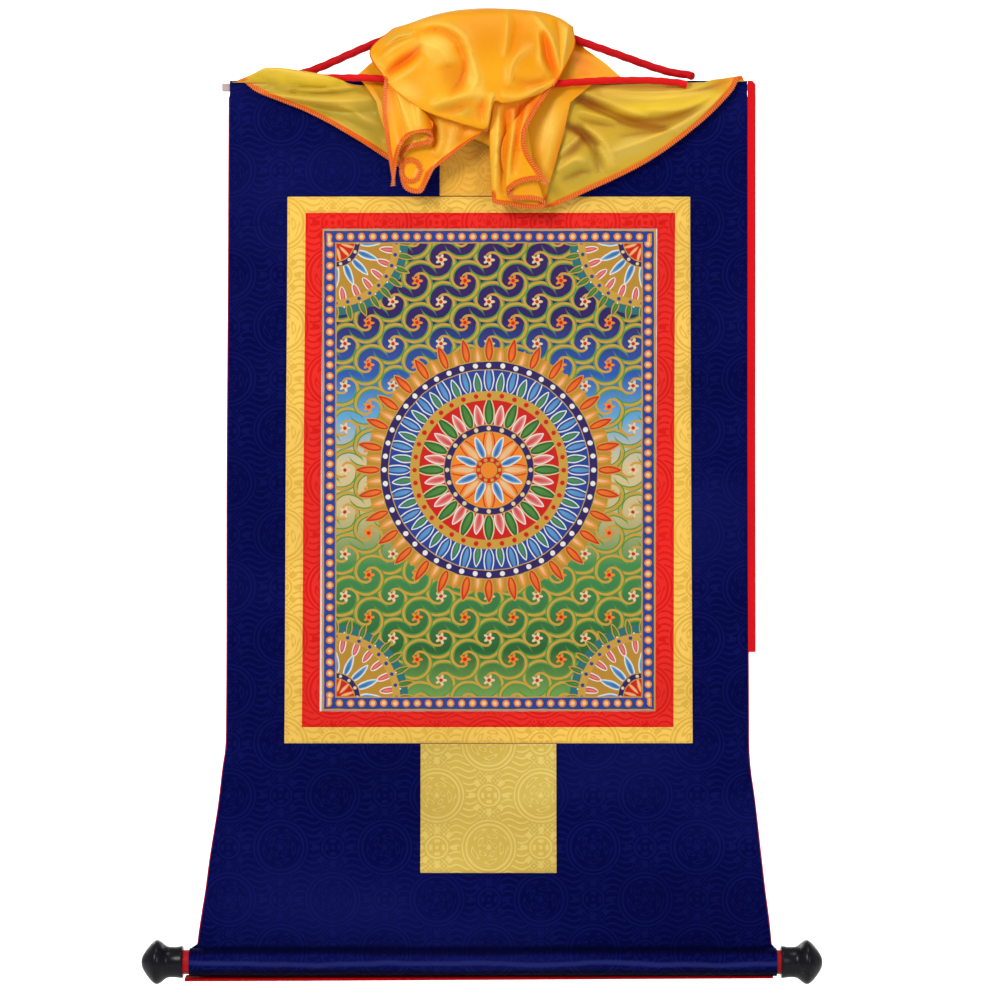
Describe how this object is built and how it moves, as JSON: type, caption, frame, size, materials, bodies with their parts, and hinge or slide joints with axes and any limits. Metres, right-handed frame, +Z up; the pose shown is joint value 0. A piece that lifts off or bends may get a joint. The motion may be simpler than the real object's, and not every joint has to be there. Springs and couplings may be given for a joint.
{
  "type": "thangka scroll painting",
  "caption": "Hanging scroll painting in a brocade mount with mitred frames, a draped silk veil, a top slat, a rolled lower edge with turned knobs, and a hanging cord.",
  "frame": {"origin": "middle of the hanging cord where it goes over its hook, above the cloth's centre line", "axes": "+Z up along the scroll, +X to the right as seen from the front, the front faces -Y"},
  "size_m": [0.68, 0.0572, 0.9753],
  "materials": {
    "navy_brocade": "dull navy brocade, woven tone on tone",
    "red_lining": "plain red cotton",
    "yellow_brocade": "yellow brocade with a soft sheen",
    "red_brocade": "red brocade with a soft sheen",
    "gold_brocade": "gold brocade with a raised pattern",
    "painted_cloth": "smooth painted cloth",
    "golden_silk": "thin glossy silk",
    "red_cord": "soft red cord",
    "black_lacquer": "glossy black lacquer on wood",
    "red_wood": "red painted wood",
    "pale_wood": "bare pale wood"
  },
  "bodies": {
    "root": {"ground_top": "navy_brocade", "ground_left": "navy_brocade", "ground_right": "navy_brocade", "ground_bottom": "navy_brocade", "lining": "red_lining", "side_strip": "red_lining", "yellow_frame_top": "yellow_brocade", "yellow_frame_right": "yellow_brocade", "yellow_frame_bottom": "yellow_brocade", "yellow_frame_left": "yellow_brocade", "red_frame_top": "red_brocade", "red_frame_right": "red_brocade", "red_frame_bottom": "red_brocade", "red_frame_left": "red_brocade", "picture": "painted_cloth", "gold_strip": "gold_brocade", "door_patch": "gold_brocade", "top_bar": "pale_wood", "bottom_dowel": "red_wood", "knob_left": "black_lacquer", "knob_right": "black_lacquer", "veil": "golden_silk", "hanging_cord": "red_cord", "tie_cord": "red_cord"}
  },
  "joints": []
}
